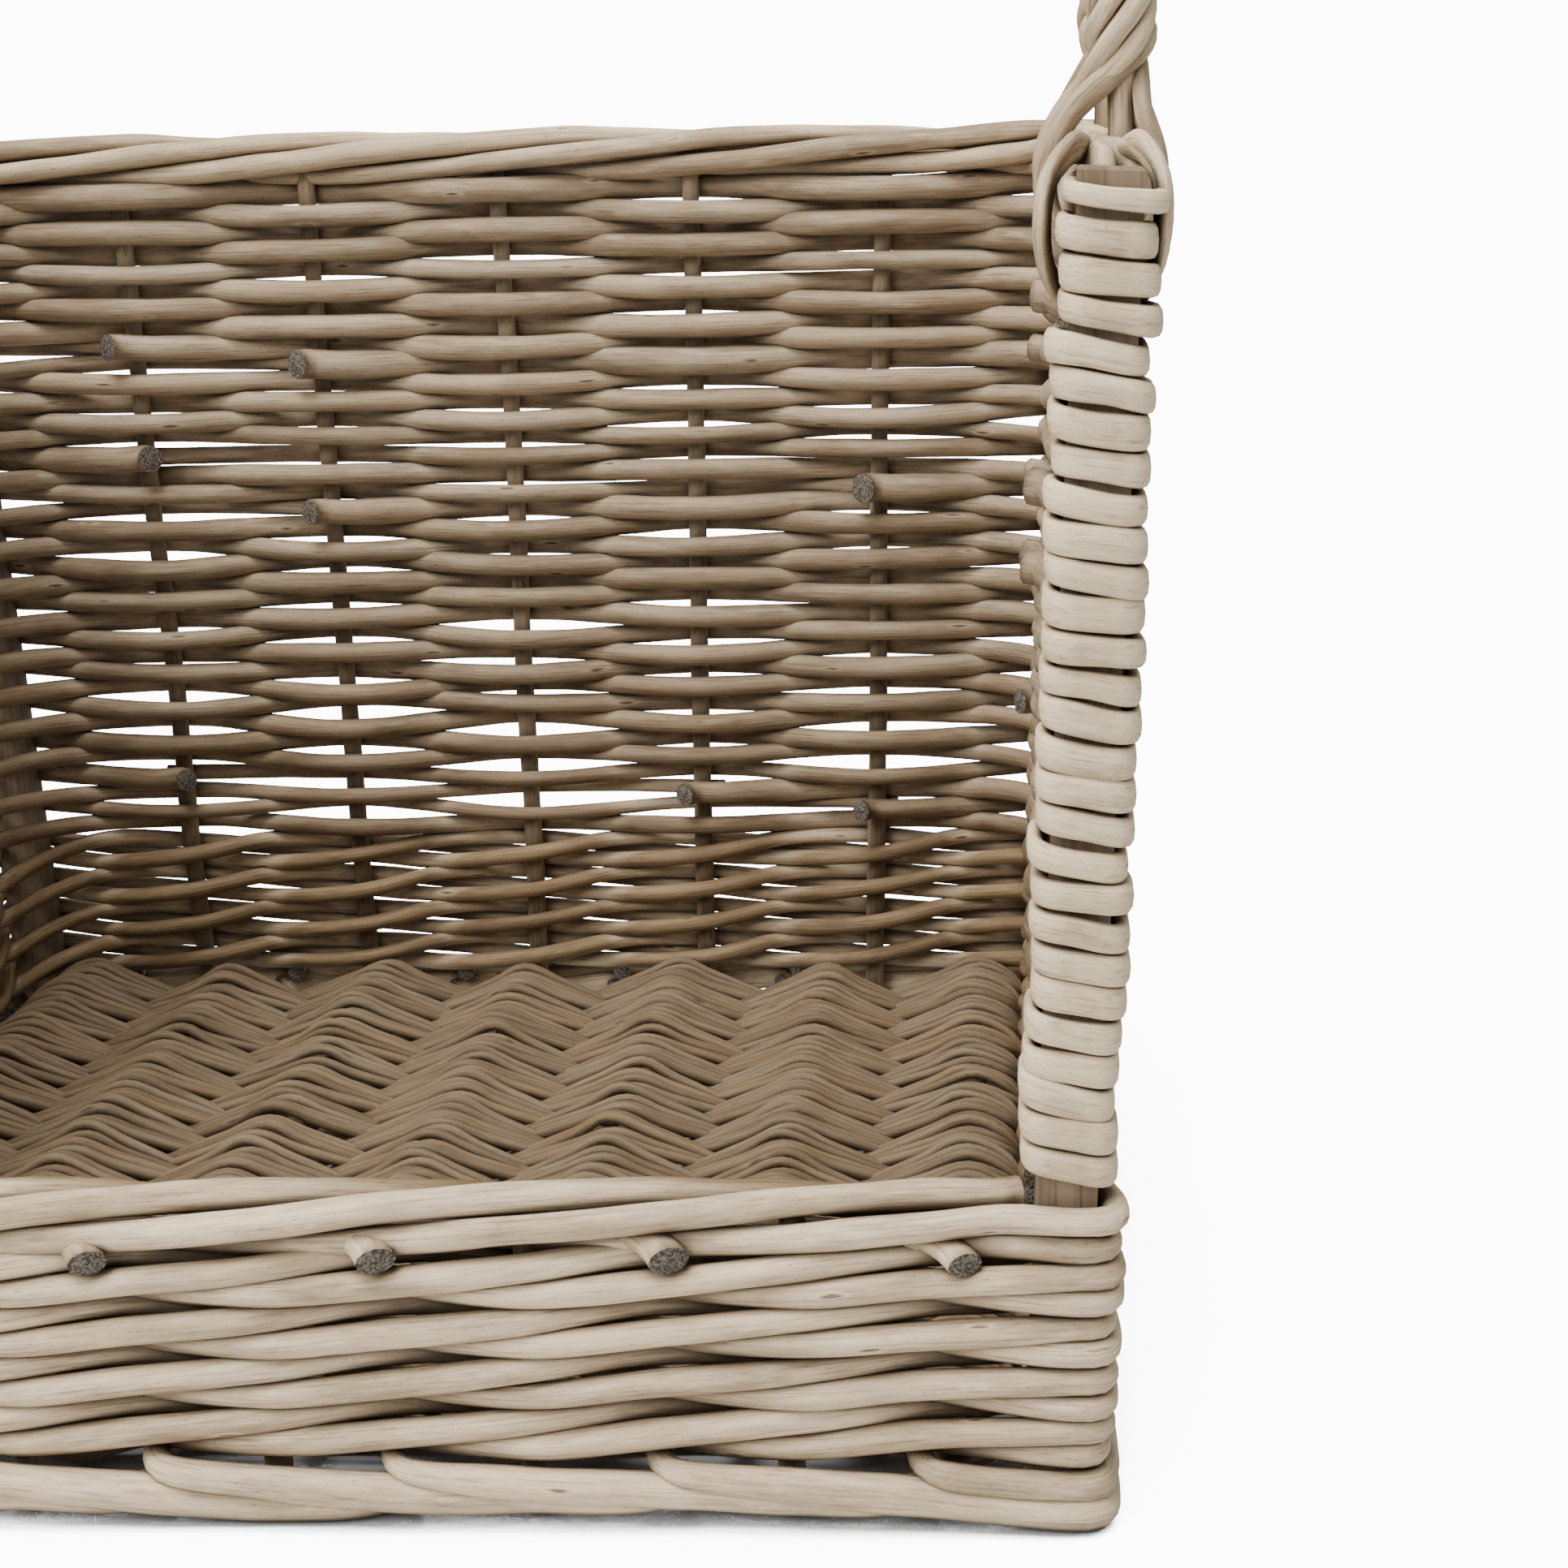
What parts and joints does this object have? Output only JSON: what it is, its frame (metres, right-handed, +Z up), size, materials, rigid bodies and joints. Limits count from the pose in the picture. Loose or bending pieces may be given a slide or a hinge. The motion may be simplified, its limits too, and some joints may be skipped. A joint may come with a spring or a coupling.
{
  "type": "log basket",
  "caption": "Square open-fronted log basket woven from whitewashed willow on corner posts, with a low front wall and a roped hoop handle on each side panel.",
  "frame": {"origin": "middle of the underside, on the surface that the basket stands on", "axes": "+Z up, +Y from the open front to the back, +X to the right seen from the open front"},
  "size_m": [0.4126, 0.3704, 0.3922],
  "materials": {
    "weathered_stick": "weathered, matt, fine upright grain",
    "flattened_willow": "whitewashed, matt, fibrous",
    "panel_willow": "whitewashed, matt",
    "border_willow": "whitewashed, matt",
    "stake_willow": "whitewashed, matt",
    "floor_willow": "whitewashed over tan willow, matt",
    "handle_willow": "whitewashed, matt"
  },
  "bodies": {
    "root": {"border_back_inner": "border_willow", "border_back_outer": "border_willow", "border_front_inner": "border_willow", "border_front_outer": "border_willow", "border_left_inner": "border_willow", "border_left_outer": "border_willow", "border_right_inner": "border_willow", "border_right_outer": "border_willow", "floor_sticks": "floor_willow", "floor_weavers": "floor_willow", "foot_border_back_inner": "border_willow", "foot_border_back_outer": "border_willow", "foot_border_front_inner": "border_willow", "foot_border_front_outer": "border_willow", "foot_border_left_inner": "border_willow", "foot_border_left_outer": "border_willow", "foot_border_right_inner": "border_willow", "foot_border_right_outer": "border_willow", "handle_bow_left": "handle_willow", "handle_bow_right": "handle_willow", "handle_legs_left": "handle_willow", "handle_legs_right": "handle_willow", "handle_rope_left": "handle_willow", "handle_rope_right": "handle_willow", "post_back_left": "weathered_stick", "post_back_right": "weathered_stick", "post_front_left": "weathered_stick", "post_front_right": "weathered_stick", "post_wraps_left": "flattened_willow", "post_wraps_right": "flattened_willow", "rim_tails_left": "border_willow", "rim_tails_right": "border_willow", "stakes_back": "stake_willow", "stakes_front": "stake_willow", "stakes_left": "stake_willow", "stakes_right": "stake_willow", "wale_back": "border_willow", "wale_front": "border_willow", "wale_left": "border_willow", "wale_right": "border_willow", "weave_back": "panel_willow", "weave_left": "panel_willow", "weave_right": "panel_willow"}
  },
  "joints": []
}
